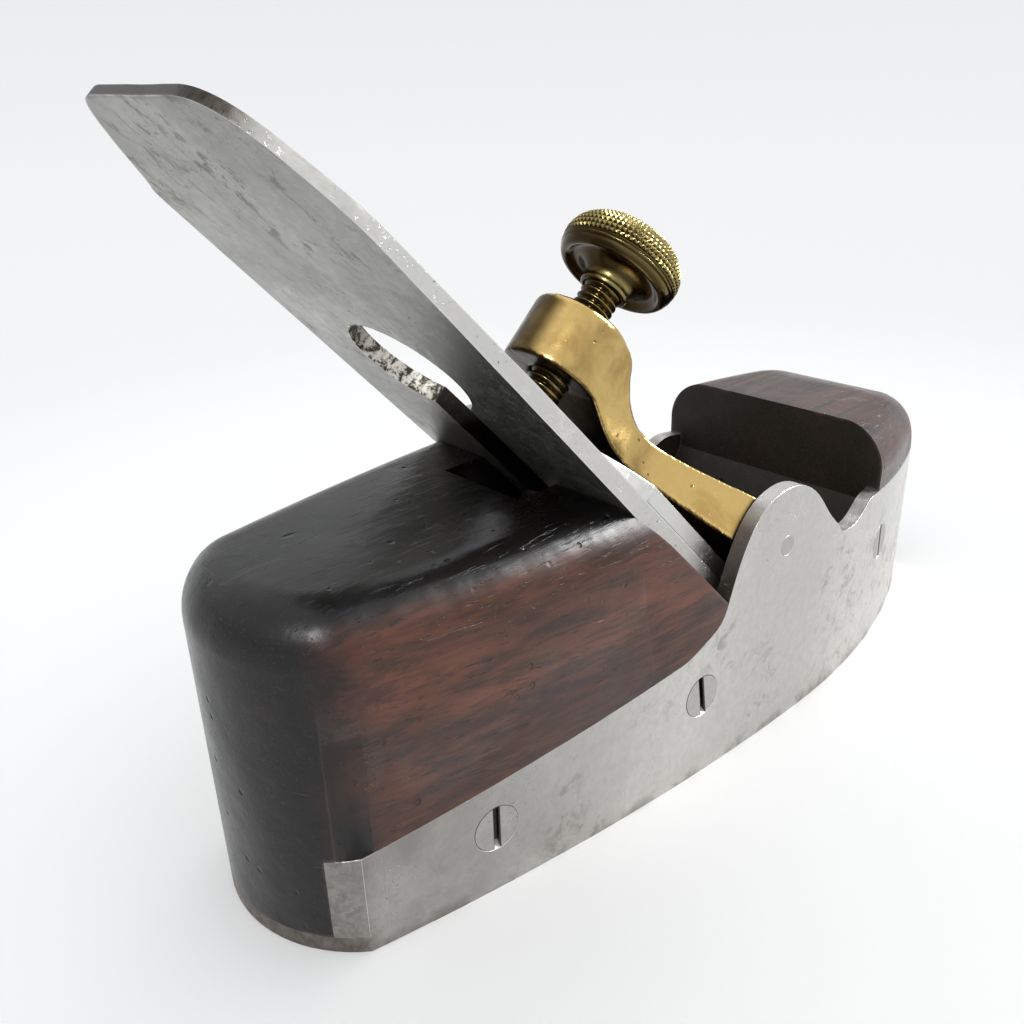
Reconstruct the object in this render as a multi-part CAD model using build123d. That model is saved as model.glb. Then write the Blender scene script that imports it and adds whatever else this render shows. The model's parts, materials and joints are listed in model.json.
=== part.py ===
"""Coffin-sided infill smoothing plane, in millimetres.

+X points to the toe, +Z up, and Y = 0 is the plane of symmetry. The origin is at the mouth,
where the plane of the bed meets the sole. Parts that lie on the bed are drawn in a frame of
their own: its X runs up the bed from the mouth and its Z stands off the bed.
"""
import os
from math import atan, cos, degrees, radians, sin, sqrt, tan

from build123d import *

# Body, seen from above
HEEL_X = -125.4
HEEL_CORNER = (-115.0, 21.2)
WIDEST_X = -5.0
HALF_WIDTH = 32.7
TOE_CORNER = (62.0, 19.4)
TOE_X = 70.0

# Steel shell
SOLE_THICKNESS = 3.2
SIDE_THICKNESS = 3.2
HEEL_STEEL_HEIGHT = 19.8
SWEEP_START = (-47.5, 28.2)
CHEEK_RISE = [(-41.0, 30.6), (-36.6, 33.2), (-34.2, 38.2), (-30.7, 46.9), (-25.0, 53.9)]
CHEEK_PEAK = (-16.5, 55.9)
CHEEK_FALL = [(-9.7, 53.6), (-5.0, 49.6), (-0.4, 44.4), (4.4, 39.9)]
CHEEK_DIP = (10.6, 37.8)
BUN_STEP_MIDDLE = (15.8, 39.2)
BUN_STEP = (21.5, 41.2)
TOE_STEEL_HEIGHT = 38.3
OVERRUN = 5.0
MOUTH_WIDTH = 56.0
MOUTH_FRONT_X = 7.4
THROAT_WEAR_ANGLE = 15.0
DOVETAIL_PITCH = 27.0
DOVETAIL_TOP = 13.0
DOVETAIL_FLARE = 1.6
DOVETAIL_HEEL_MARGIN = 6.0

# Wooden infill
BED_ANGLE = 47.0
BED_GAP = 0.15
INFILL_TOP = 63.3
INFILL_CORNER_RADIUS = 12.0
INFILL_TOP_RADIUS = 9.0
GROOVE_WIDTH = 20.0
GROOVE_DEPTH = 7.0
GROOVE_START = 34.0
BUN_REAR_X = 25.2
BUN_TOP = 56.0
BUN_FLAT_END_X = 44.0
BUN_BROW = (60.0, 50.6)
BUN_FRONT_HEIGHT = 22.0
BUN_EDGE_RADIUS = 10.5

# Cutting iron, measured up the bed
IRON_WIDTH = 54.0
IRON_TOP_S = 179.0
IRON_EDGE_THICKNESS = 4.8
IRON_TOP_THICKNESS = 2.2
IRON_BEVEL = 28.0
IRON_EDGE_HEIGHT = 0.1
IRON_HOLE_S = 119.5
IRON_HOLE_Y = -1.5
IRON_HOLE_RADIUS = 11.9
IRON_SLOT_WIDTH = 10.0
IRON_SLOT_START = 44.0
# Worn end of the iron seen from above, from the right shoulder round to the left one;
# on the bed, the right side is positive
IRON_END = [
    (155.0, 27.0), (163.2, 25.6), (169.5, 23.5), (173.2, 21.8), (176.5, 19.0), (178.4, 15.5), (179.0, 8.0),
    (179.0, -2.0), (179.0, -10.5), (178.2, -14.0), (176.4, -16.3), (172.4, -19.2), (167.5, -22.0),
    (161.0, -25.5), (156.0, -27.0),
]

# Cap iron, measured along the top face of the iron
CAP_WIDTH = 52.0
CAP_THICKNESS = 3.3
CAP_GAP = 0.2
CAP_SETBACK = 1.2
CAP_LIP_THICKNESS = 0.5
CAP_BEND_LENGTH = 20.0
CAP_HUMP = 0.7
CAP_RISE_SHARE = 0.3
CAP_CREST_SHARE = 0.75
CAP_HOLLOW_SHARE = 0.6
CAP_ROUND_S = 66.2
CAP_ROUND_RADIUS = 30.5
CAP_SCREW_S = 70.0
CAP_SCREW_DIAMETER = 8.0
CAP_SCREW_HEAD_DIAMETER = 17.0
CAP_SCREW_HEAD_THICKNESS = 4.0
HEAD_GAP = 0.35
HEAD_SLOT_WIDTH = 1.6
HEAD_SLOT_DEPTH = 1.5

# Lever cap, measured up the bed and off it
LEVER_WIDTH = 57.2
LEVER_TOE_S = 13.0
LEVER_TOE_TOP = 12.0
LEVER_TOE_BOTTOM = 9.3
LEVER_TOE_LENGTH = 4.5
LEVER_TOP_LINE = [(26.0, 18.6), (43.0, 21.8), (58.0, 20.2), (71.0, 19.6), (79.5, 21.9), (83.8, 25.8)]
LEVER_UNDER_LINE = [(81.0, 13.6), (66.0, 11.9), (52.0, 10.3), (30.0, 10.2)]
LEVER_SHOULDER_S = 55.0
LEVER_FLANK = [(62.0, 19.2), (68.0, 12.4)]
LEVER_NECK_S = 76.5
PIVOT = (42.9, 17.3)
PIVOT_DIAMETER = 4.4
BOSS_S = 92.5
BOSS_RADIUS = 9.8
BOSS_BOTTOM = 16.5
BOSS_TOP = 29.4
BOSS_EDGE = 0.8
LEVER_NECK_HALF_WIDTH = 9.6

# Lever screw and its knob
LEVER_SCREW_DIAMETER = 8.0
LEVER_SCREW_TIP = 7.7
LEVER_SCREW_TIP_RADIUS = 1.6
LEVER_SCREW_TIP_LENGTH = 2.0
RUNNING_GAP = 0.05
BORE_END_GAP = 0.2
KNOB_NECK_BOTTOM = 36.6
KNOB_NECK_RADIUS = 4.7
KNOB_RIM_BOTTOM = 39.8
KNOB_LIP_RADIUS = 10.9
KNOB_TOP = 49.9
KNOB_LIP_WIDTH = 1.4
KNOB_LIP_HEIGHT = 0.6
KNOB_WAIST = [(5.3, 39.3), (7.4, 41.0)]
KNOB_DOME = [(12.3, 43.5), (11.6, 46.4), (9.2, 48.5)]
SHANK_TOP = 44.9

# Countersunk screws that hold the infill
SCREW_HEAD_RADIUS = 4.6
SCREW_HEAD_DEPTH = 2.8
SCREW_SHANK_RADIUS = 2.2
SCREW_LENGTH = 16.0
SCREW_POINT_LENGTH = 4.0
SCREW_SLOT_WIDTH = 1.1
SCREW_SLOT_DEPTH = 1.2
SCREWS = {"heel": (-90.6, 13.5, 0.0), "middle": (-41.1, 18.7, 8.0), "toe": (31.2, 25.8, 4.0)}

# Larger than the whole plane, and a small length for picking edges
BIG = 400.0
TOLERANCE = 0.01


def bed_frame():
    """Frame on the bed: X up the bed, Z off it."""
    a = radians(BED_ANGLE)
    return Plane(origin=(0, 0, 0), x_dir=(-cos(a), 0, sin(a)), z_dir=(sin(a), 0, cos(a)))


def iron_edge_s():
    """Place of the cutting edge along the bed, for the edge to stand IRON_EDGE_HEIGHT off the floor."""
    a = radians(BED_ANGLE)
    return (IRON_EDGE_HEIGHT - IRON_EDGE_THICKNESS * cos(a)) / sin(a)


def iron_slope():
    """Slope of the top face of the tapered iron against the bed."""
    return (IRON_EDGE_THICKNESS - IRON_TOP_THICKNESS) / (IRON_TOP_S - iron_edge_s())


def iron_top_frame():
    """Frame on the top face of the iron, from its cutting edge."""
    local = Plane(origin=(iron_edge_s(), 0, IRON_EDGE_THICKNESS))
    local = local.rotated((0, degrees(atan(iron_slope())), 0))
    return Plane(bed_frame().location * local.location)


def side_arc(end_x, end_y, inset=0.0):
    """Half of a side, as an arc that is parallel to X at the widest place."""
    run = WIDEST_X - end_x
    drop = HALF_WIDTH - end_y
    radius = (run * run + drop * drop) / (2 * drop)
    centre_y = HALF_WIDTH - radius
    return (WIDEST_X, centre_y), radius - inset


def outline(corner_radius=0.0):
    """Face of the whole body seen from above."""
    heel_x, heel_y = HEEL_CORNER
    toe_x, toe_y = TOE_CORNER
    with BuildSketch() as plan:
        with BuildLine():
            _, rear_radius = side_arc(heel_x, heel_y)
            _, front_radius = side_arc(toe_x, toe_y)
            RadiusArc((WIDEST_X, HALF_WIDTH), (heel_x, heel_y), -rear_radius)
            ThreePointArc((heel_x, heel_y), (HEEL_X, 0), (heel_x, -heel_y))
            RadiusArc((heel_x, -heel_y), (WIDEST_X, -HALF_WIDTH), -rear_radius)
            RadiusArc((WIDEST_X, -HALF_WIDTH), (toe_x, -toe_y), -front_radius)
            ThreePointArc((toe_x, -toe_y), (TOE_X, 0), (toe_x, toe_y))
            RadiusArc((toe_x, toe_y), (WIDEST_X, HALF_WIDTH), -front_radius)
        make_face()
        if corner_radius:
            corners = plan.vertices().filter_by(lambda v: abs(v.X - heel_x) < TOLERANCE)
            fillet(corners, corner_radius)
    return plan.sketch


def inner_outline():
    """Face between the inner faces of the side plates, run out past heel and toe."""
    (cx, cy), radius = side_arc(*HEEL_CORNER, inset=SIDE_THICKNESS)
    (fx, fy), front_radius = side_arc(*TOE_CORNER, inset=SIDE_THICKNESS)
    rear = Pos(cx, cy) * Circle(radius) & Pos(cx, -cy) * Circle(radius)
    front = Pos(fx, fy) * Circle(front_radius) & Pos(fx, -fy) * Circle(front_radius)
    behind = Pos(WIDEST_X - BIG / 2, 0) * Rectangle(BIG, BIG)
    ahead = Pos(WIDEST_X + BIG / 2, 0) * Rectangle(BIG, BIG)
    return (rear & behind) + (front & ahead)


def prism(face, bottom, top):
    """Upright solid of a face between two heights."""
    return extrude(Pos(0, 0, bottom) * face, top - bottom)


def steel_height_solid():
    """Everything below the top edge of the side plates."""
    with BuildSketch(Plane.XZ) as side:
        with BuildLine():
            slope = (SWEEP_START[1] - HEEL_STEEL_HEIGHT) / (SWEEP_START[0] - HEEL_CORNER[0])
            rear_x = HEEL_X - OVERRUN
            rear_top = (rear_x, HEEL_STEEL_HEIGHT + slope * (rear_x - HEEL_CORNER[0]))
            front_x = TOE_X + OVERRUN
            Line(rear_top, SWEEP_START)
            Spline(
                SWEEP_START, *CHEEK_RISE, CHEEK_PEAK, *CHEEK_FALL, CHEEK_DIP,
                tangents=((1, slope), (1, 0)),
            )
            Spline(CHEEK_DIP, BUN_STEP_MIDDLE, BUN_STEP, tangents=((1, 0), (1, 0)))
            Polyline(BUN_STEP, (front_x, TOE_STEEL_HEIGHT), (front_x, 0), (rear_x, 0), rear_top)
        make_face()
    return extrude(side.sketch, BIG / 2, both=True)


def dovetail_places():
    """X of the middle of each dovetail along a side."""
    first = HEEL_CORNER[0] + DOVETAIL_PITCH / 2 + DOVETAIL_HEEL_MARGIN
    count = int((TOE_CORNER[0] - first) // DOVETAIL_PITCH) + 1
    return [first + DOVETAIL_PITCH * k for k in range(count)]


def dovetails():
    """Flared blocks in which the side plates run down through the edge of the sole."""
    half_top = DOVETAIL_TOP / 2
    half_bottom = half_top + DOVETAIL_FLARE
    blocks = []
    for x in dovetail_places():
        with BuildSketch(Plane.XZ) as tail:
            Polygon(
                (x - half_bottom, 0), (x + half_bottom, 0),
                (x + half_top, SOLE_THICKNESS), (x - half_top, SOLE_THICKNESS), align=None,
            )
        blocks.append(extrude(tail.sketch, BIG / 2, both=True))
    return blocks


def shell():
    """Sole and both side plates, dovetailed together."""
    band = outline() - inner_outline()
    wall = prism(band, SOLE_THICKNESS, CHEEK_PEAK[1] + OVERRUN) & steel_height_solid()
    foot = prism(band, 0, SOLE_THICKNESS)
    tails = [foot & block for block in dovetails()]
    walls = wall + tails
    sole = prism(outline(), 0, SOLE_THICKNESS) - tails
    sole -= mouth()
    right = walls & Pos(0, -BIG / 2, 0) * Box(BIG, BIG, BIG)
    left = walls & Pos(0, BIG / 2, 0) * Box(BIG, BIG, BIG)
    return sole, right, left


def mouth():
    """Slot through the sole: its back lies on the bed, its front leans forward."""
    back = -SOLE_THICKNESS / tan(radians(BED_ANGLE)) - BED_GAP / sin(radians(BED_ANGLE))
    lean = SOLE_THICKNESS * tan(radians(THROAT_WEAR_ANGLE))
    with BuildSketch(Plane.XZ) as slot:
        Polygon(
            (-BED_GAP / sin(radians(BED_ANGLE)), 0), (MOUTH_FRONT_X, 0),
            (MOUTH_FRONT_X + lean, SOLE_THICKNESS), (back, SOLE_THICKNESS), align=None,
        )
    return extrude(slot.sketch, MOUTH_WIDTH / 2, both=True)


def behind_bed():
    """Everything behind the bed, less the groove for the cap-iron screw."""
    bed = bed_frame()
    block = Pos(0, 0, -BED_GAP - BIG / 2) * Box(BIG * 2, BIG, BIG)
    groove_length = BIG - GROOVE_START
    groove = Pos(GROOVE_START + groove_length / 2, 0, -BED_GAP - GROOVE_DEPTH / 2) * Box(
        groove_length, GROOVE_WIDTH, GROOVE_DEPTH
    )
    end = Pos(GROOVE_START, 0, -BED_GAP - GROOVE_DEPTH / 2) * Cylinder(GROOVE_WIDTH / 2, GROOVE_DEPTH)
    return bed.location * (block - groove - end)


def rear_infill(right, left, holes):
    """Overstuffed block behind the iron, rounded along its top."""
    block = prism(outline(INFILL_CORNER_RADIUS), SOLE_THICKNESS, INFILL_TOP)
    rim = block.edges().filter_by(lambda e: e.center().Z > INFILL_TOP - TOLERANCE)
    block = fillet(rim, INFILL_TOP_RADIUS)
    block &= behind_bed()
    return block - right - left - holes


def bun_profile():
    """Side shape of the front infill."""
    throat_x = MOUTH_FRONT_X + SOLE_THICKNESS * tan(radians(THROAT_WEAR_ANGLE))
    front_x = TOE_X + OVERRUN
    with BuildSketch(Plane.XZ) as side:
        with BuildLine():
            Polyline(
                (front_x, BUN_FRONT_HEIGHT), (front_x, SOLE_THICKNESS), (throat_x, SOLE_THICKNESS),
                (BUN_REAR_X, CHEEK_DIP[1]), (BUN_REAR_X, BUN_TOP), (BUN_FLAT_END_X, BUN_TOP),
            )
            Spline(
                (BUN_FLAT_END_X, BUN_TOP), BUN_BROW, (front_x, BUN_FRONT_HEIGHT),
                tangents=((1, 0), (0.3, -1)),
            )
        make_face()
    return extrude(side.sketch, BIG / 2, both=True)


def front_infill(right, left, holes):
    """Block ahead of the mouth that the front hand rests on."""
    block = prism(outline(), SOLE_THICKNESS, BUN_TOP + OVERRUN) & bun_profile()
    rim = block.edges().filter_by(
        lambda e: e.center().Z > TOE_STEEL_HEIGHT and e.bounding_box().max.X > BUN_REAR_X + TOLERANCE
    )
    block = fillet(rim, BUN_EDGE_RADIUS)
    return block - right - left - holes


def wood_screw(turn=0.0, slotted=True):
    """Countersunk screw with its head's face at Z = 0 and its point down Z."""
    with BuildSketch(Plane.XZ) as half:
        Polygon(
            (0, 0), (SCREW_HEAD_RADIUS, 0), (SCREW_SHANK_RADIUS, -SCREW_HEAD_DEPTH),
            (SCREW_SHANK_RADIUS, SCREW_POINT_LENGTH - SCREW_LENGTH), (0, -SCREW_LENGTH), align=None,
        )
    screw = revolve(half.sketch, Axis.Z)
    if slotted:
        slot = Box(SCREW_SLOT_WIDTH, 2 * SCREW_HEAD_RADIUS + OVERRUN, 2 * SCREW_SLOT_DEPTH)
        screw -= Rot(0, 0, turn) * slot
    return screw


def screw_place(x, z, side):
    """Location on the outer face of a side plate, Z outward and local Y up the plate."""
    corner = HEEL_CORNER if x < WIDEST_X else TOE_CORNER
    (cx, cy), radius = side_arc(*corner)
    y = cy + sqrt(radius * radius - (x - cx) ** 2)
    normal = ((x - cx) / radius, side * (y - cy) / radius, 0)
    along = (-normal[1], normal[0], 0)
    return Plane(origin=(x, side * y, z), x_dir=along, z_dir=normal).location


def side_screws():
    """All the infill screws by name, and the holes that they fill."""
    screws = {}
    holes = []
    for side_name, side in (("right", -1), ("left", 1)):
        for place_name, (x, z, turn) in SCREWS.items():
            place = screw_place(x, z, side)
            screws[f"{side_name}_{place_name}_screw"] = place * wood_screw(turn)
            holes.append(place * wood_screw(slotted=False))
    return screws, holes


def cutting_iron():
    """Tapered iron with clipped shoulders and a keyhole slot."""
    edge = iron_edge_s()
    bevel_end = edge + IRON_EDGE_THICKNESS / tan(radians(IRON_BEVEL))
    with BuildSketch(Plane.XZ) as side:
        Polygon(
            (edge, IRON_EDGE_THICKNESS), (bevel_end, 0), (IRON_TOP_S, 0),
            (IRON_TOP_S, IRON_TOP_THICKNESS), align=None,
        )
    bar = extrude(side.sketch, IRON_WIDTH / 2, both=True)
    with BuildSketch() as plan:
        with BuildLine():
            half = IRON_WIDTH / 2
            start = edge - OVERRUN
            Polyline(IRON_END[-1], (start, -half), (start, half), IRON_END[0])
            Spline(*IRON_END, tangents=((1, 0), (-1, 0)))
        make_face()
        with Locations((IRON_HOLE_S, IRON_HOLE_Y)):
            Circle(IRON_HOLE_RADIUS, mode=Mode.SUBTRACT)
        slot_length = IRON_HOLE_S - IRON_SLOT_START
        with Locations((IRON_SLOT_START + slot_length / 2, 0)):
            SlotCenterToCenter(slot_length, IRON_SLOT_WIDTH, mode=Mode.SUBTRACT)
    return bed_frame().location * (bar & prism(plan.sketch, 0, IRON_EDGE_THICKNESS))


def cap_iron():
    """Breaker that lies on the iron, bent down to it at the front and round at the back."""
    start = CAP_SETBACK
    bend = start + CAP_BEND_LENGTH
    low = CAP_GAP
    high = CAP_GAP + CAP_THICKNESS
    rise = start + CAP_BEND_LENGTH * CAP_RISE_SHARE
    crest = start + CAP_BEND_LENGTH * CAP_CREST_SHARE
    hollow = start + CAP_BEND_LENGTH * CAP_HOLLOW_SHARE
    level = bend + CAP_BEND_LENGTH * CAP_RISE_SHARE
    round_centre = CAP_ROUND_S - iron_edge_s()
    end = round_centre + CAP_ROUND_RADIUS
    with BuildSketch(Plane.XZ) as side:
        with BuildLine():
            lip = low + CAP_LIP_THICKNESS
            Line((start, low), (start, lip))
            Spline(
                (start, lip), (rise, high), (crest, high + CAP_HUMP), (level, high),
                tangents=((0.6, 1), (1, 0)),
            )
            Polyline((level, high), (end, high), (end, low), (bend, low))
            Spline((bend, low), (hollow, low + CAP_HUMP), (start, low), tangents=((-1, 0), (-1, -0.25)))
        make_face()
    plate = extrude(side.sketch, CAP_WIDTH / 2, both=True)
    square = Pos(round_centre - BIG / 2, 0) * Rectangle(BIG, CAP_WIDTH)
    plate &= prism(square + Pos(round_centre, 0) * Circle(CAP_ROUND_RADIUS), 0, BIG)
    screw_u = CAP_SCREW_S - iron_edge_s()
    plate -= Pos(screw_u, 0, 0) * Cylinder(CAP_SCREW_DIAMETER / 2 + RUNNING_GAP, BIG)
    return iron_top_frame().location * plate


def cap_iron_screw():
    """Screw through the slot of the iron, with its head in the groove of the bed."""
    screw_u = CAP_SCREW_S - iron_edge_s()
    iron_under = iron_slope() * screw_u - IRON_EDGE_THICKNESS - HEAD_GAP
    top = CAP_GAP + CAP_THICKNESS
    shank = Pos(0, 0, (iron_under + top) / 2) * Cylinder(CAP_SCREW_DIAMETER / 2, top - iron_under)
    head = Pos(0, 0, iron_under - CAP_SCREW_HEAD_THICKNESS / 2) * Cylinder(
        CAP_SCREW_HEAD_DIAMETER / 2, CAP_SCREW_HEAD_THICKNESS
    )
    slot = Pos(0, 0, iron_under - CAP_SCREW_HEAD_THICKNESS) * Box(BIG, HEAD_SLOT_WIDTH, 2 * HEAD_SLOT_DEPTH)
    return iron_top_frame().location * Pos(screw_u, 0, 0) * (shank + head - slot)


def lever_side():
    """Side shape of the lever cap: toe, thick waist at the pivot, and the rise to the boss."""
    rise_end = (BOSS_S - BOSS_RADIUS / 2, BOSS_TOP - BOSS_EDGE)
    under_start = (BOSS_S - BOSS_RADIUS / 3, BOSS_BOTTOM)
    toe_tip = (LEVER_TOE_S, LEVER_TOE_TOP)
    toe_front = (LEVER_TOE_S + BOSS_EDGE, LEVER_TOE_BOTTOM)
    toe_back = (LEVER_TOE_S + LEVER_TOE_LENGTH, LEVER_TOE_BOTTOM)
    with BuildSketch(Plane.XZ) as side:
        with BuildLine():
            Spline(toe_tip, *LEVER_TOP_LINE, rise_end, tangents=((0.4, 1), (1, 0.25)))
            Polyline(rise_end, (BOSS_S, rise_end[1]), (BOSS_S, BOSS_BOTTOM), under_start)
            Spline(under_start, *LEVER_UNDER_LINE, toe_back, tangents=((-1, -0.35), (-1, 0)))
            Polyline(toe_back, toe_front, toe_tip)
        make_face()
    return side.sketch


def lever_plan():
    """Plan of the lever cap on the bed: full width to the shoulders, then in to the boss."""
    half = LEVER_WIDTH / 2
    neck = LEVER_NECK_HALF_WIDTH
    front = LEVER_TOE_S - OVERRUN
    with BuildSketch() as plan:
        with BuildLine():
            Polyline((LEVER_SHOULDER_S, half), (front, half), (front, -half), (LEVER_SHOULDER_S, -half))
            for side in (1, -1):
                flank = [(s, side * y) for s, y in LEVER_FLANK]
                Spline(
                    (LEVER_SHOULDER_S, side * half), *flank, (LEVER_NECK_S, side * neck),
                    tangents=((0.7, -side), (1, 0)),
                )
                Line((LEVER_NECK_S, side * neck), (BOSS_S, side * neck))
            Line((BOSS_S, neck), (BOSS_S, -neck))
        make_face()
    return plan.sketch


def lever_cap():
    """Brass lever cap with its pivot bore and the threaded hole for the screw."""
    cap = extrude(lever_side(), BIG / 2, both=True) & prism(lever_plan(), 0, BIG / 4)
    boss = Pos(BOSS_S, 0, (BOSS_BOTTOM + BOSS_TOP) / 2) * Cylinder(BOSS_RADIUS, BOSS_TOP - BOSS_BOTTOM)
    boss = fillet(boss.edges().filter_by(GeomType.CIRCLE).sort_by(Axis.Z)[-1], BOSS_EDGE)
    cap += boss
    cap -= Pos(BOSS_S, 0, 0) * Cylinder(LEVER_SCREW_DIAMETER / 2 + RUNNING_GAP, BIG)
    cap -= Pos(PIVOT[0], 0, PIVOT[1]) * Rot(90, 0, 0) * Cylinder(PIVOT_DIAMETER / 2 + RUNNING_GAP, BIG)
    return bed_frame().location * cap


def pivot_bar(radius):
    """Bar across the body on the pivot of the lever cap."""
    return bed_frame().location * Pos(PIVOT[0], 0, PIVOT[1]) * Rot(90, 0, 0) * Cylinder(radius, BIG / 2)


def lever_screw():
    """Shank of the lever screw, up into the knob."""
    tip = LEVER_SCREW_TIP
    radius = LEVER_SCREW_DIAMETER / 2
    with BuildSketch(Plane.XZ) as half:
        Polygon(
            (0, tip), (LEVER_SCREW_TIP_RADIUS, tip), (radius, tip + LEVER_SCREW_TIP_LENGTH),
            (radius, SHANK_TOP), (0, SHANK_TOP), align=None,
        )
    return bed_frame().location * Pos(BOSS_S, 0, 0) * revolve(half.sketch, Axis.Z)


def lever_knob():
    """Domed knob with a bell-shaped neck and a bore for the shank."""
    dish_edge = (KNOB_LIP_RADIUS - KNOB_LIP_WIDTH, KNOB_RIM_BOTTOM + KNOB_LIP_HEIGHT)
    lip = (KNOB_LIP_RADIUS, KNOB_RIM_BOTTOM)
    neck = (KNOB_NECK_RADIUS, KNOB_NECK_BOTTOM)
    with BuildSketch(Plane.XZ) as half:
        with BuildLine():
            Polyline((0, KNOB_TOP), (0, KNOB_NECK_BOTTOM), neck)
            Spline(neck, *KNOB_WAIST, dish_edge, tangents=((0, 1), (1, 0.1)))
            Line(dish_edge, lip)
            Spline(lip, *KNOB_DOME, (0, KNOB_TOP), tangents=((0.5, 1), (-1, 0)))
        make_face()
    knob = revolve(half.sketch, Axis.Z)
    bore = SHANK_TOP + BORE_END_GAP - KNOB_NECK_BOTTOM
    knob -= Pos(0, 0, KNOB_NECK_BOTTOM + bore / 2) * Cylinder(LEVER_SCREW_DIAMETER / 2 + RUNNING_GAP, bore)
    return bed_frame().location * Pos(BOSS_S, 0, 0) * knob


def build():
    """Every node of the plane by name."""
    screws, holes = side_screws()
    sole, right, left = shell()
    pin_hole = pivot_bar(PIVOT_DIAMETER / 2)
    rear = rear_infill(right, left, holes)
    front = front_infill(right, left, holes)
    body = prism(outline(), 0, BIG / 4)
    nodes = {
        "sole_plate": sole,
        "right_side_plate": right - holes - pin_hole,
        "left_side_plate": left - holes - pin_hole,
        "rear_infill": rear,
        "front_infill": front,
        "pivot_pin": pin_hole & body,
        "cutting_iron": cutting_iron(),
        "cap_iron": cap_iron(),
        "cap_iron_screw": cap_iron_screw(),
        "lever_cap": lever_cap(),
        "lever_screw": lever_screw(),
        "lever_knob": lever_knob(),
    }
    return nodes | screws


os.makedirs("parts", exist_ok=True)
for name, solid in build().items():
    solid.label = name
    export_step(solid, f"parts/{name}.step")
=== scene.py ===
import json
from math import cos, floor, pi, radians, sin

import bmesh
import bpy
from mathutils import Matrix, Vector, noise


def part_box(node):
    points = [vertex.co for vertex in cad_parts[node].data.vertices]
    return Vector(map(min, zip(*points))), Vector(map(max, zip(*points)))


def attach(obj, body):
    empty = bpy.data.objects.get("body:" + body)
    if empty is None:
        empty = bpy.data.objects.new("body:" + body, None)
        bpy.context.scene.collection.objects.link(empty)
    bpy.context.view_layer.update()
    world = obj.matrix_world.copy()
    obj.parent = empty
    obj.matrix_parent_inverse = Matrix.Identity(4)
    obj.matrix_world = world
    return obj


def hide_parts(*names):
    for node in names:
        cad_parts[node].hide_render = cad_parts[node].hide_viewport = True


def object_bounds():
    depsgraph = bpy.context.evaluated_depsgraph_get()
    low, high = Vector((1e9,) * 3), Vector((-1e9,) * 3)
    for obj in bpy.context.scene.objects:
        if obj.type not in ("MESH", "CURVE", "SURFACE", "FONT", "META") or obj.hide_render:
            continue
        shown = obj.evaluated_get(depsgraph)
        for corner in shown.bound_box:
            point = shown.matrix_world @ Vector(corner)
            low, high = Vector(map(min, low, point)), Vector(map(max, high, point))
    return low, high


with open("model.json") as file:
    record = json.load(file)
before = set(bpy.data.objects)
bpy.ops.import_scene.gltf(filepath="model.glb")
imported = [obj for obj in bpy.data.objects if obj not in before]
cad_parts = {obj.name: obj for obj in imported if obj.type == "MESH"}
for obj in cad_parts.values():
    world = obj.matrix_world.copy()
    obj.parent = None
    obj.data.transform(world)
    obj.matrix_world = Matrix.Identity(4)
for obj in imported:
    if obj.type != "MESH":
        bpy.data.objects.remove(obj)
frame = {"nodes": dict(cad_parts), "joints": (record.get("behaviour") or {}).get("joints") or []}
cad_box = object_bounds()

MM = 0.001
WELD = 0.000002
FLAT = radians(0.2)
SHARP = radians(25)

# The bed, from the lever screw's own axis
SCREW_JOINT = next(j for j in frame["joints"] if j["name"] == "lever_knob_turn")
OFF_BED = Vector(SCREW_JOINT["axis"]).normalized()
ACROSS = Vector((0, 1, 0))
UP_BED = ACROSS.cross(OFF_BED) * -1
SCREW_PLACE = Vector(SCREW_JOINT["pos_m"])
SCREW_FOOT = SCREW_PLACE - OFF_BED * SCREW_PLACE.dot(OFF_BED)

# Where the shaders mark the steel with stains, wear and painted shade: each pair is where a mask
# starts and where it is full, along the plane, up from the floor, or up the bed and across it
TOWARDS_TOE = (-0.105, -0.045)
HEEL_END = (-0.112, -0.117)
HEEL_FOOT = (0.006, 0.003)
SOLE_FOOT = (0.0035, 0.0005)
# CHEEK_BACK: the painted shade on the back edge of the cheeks, its top and its foot
CHEEK_BACK_TOP = (0.0557, 0.0495)
CHEEK_BACK_FOOT = (0.018, 0.024)
KEYHOLE = Vector((0.1195, 0.0015, 0))
KEYHOLE_WALL = (0.01225, 0.0121)
# SLOT: the painted shade on the walls of the slot in the iron
SLOT_WALL = (0.0055, 0.0052)
SLOT_TOP = (0.111, 0.108)
# CAP_IRON: the painted shade in the crease beside the cap iron
CAP_IRON_EDGE = (0.0255, 0.026)
CAP_IRON_TOP = (0.068, 0.066)
WORN_END = (0.1805, 0.183)

# The side of the brass given a painted dark reflection
BACK_LEFT = Vector((-0.74, 0.67, 0))

# Colours used more than once
PAINTED_CREASE_SHADE = (0.02, 0.018, 0.015)
PACKED_OIL = (0.012, 0.010, 0.008)
SOLE_LIGHT = (0.44, 0.43, 0.41)
HEAD_DARK = (0.34, 0.33, 0.315)
CHECK_BLACK = (0.003, 0.002, 0.002)

# The photo's camera, fitted to straight edges of the plane
CAMERA_PLACE = Vector((-0.17695, -0.12662, 0.13358))
CAMERA_YAW, CAMERA_PITCH, CAMERA_ROLL = radians(47.57), radians(-24.54), radians(-1.85)
CAMERA_LENS, CAMERA_SENSOR, CAMERA_CLIP = 34.96, 36, 0.01


# ---------------------------------------------------------------- materials

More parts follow.
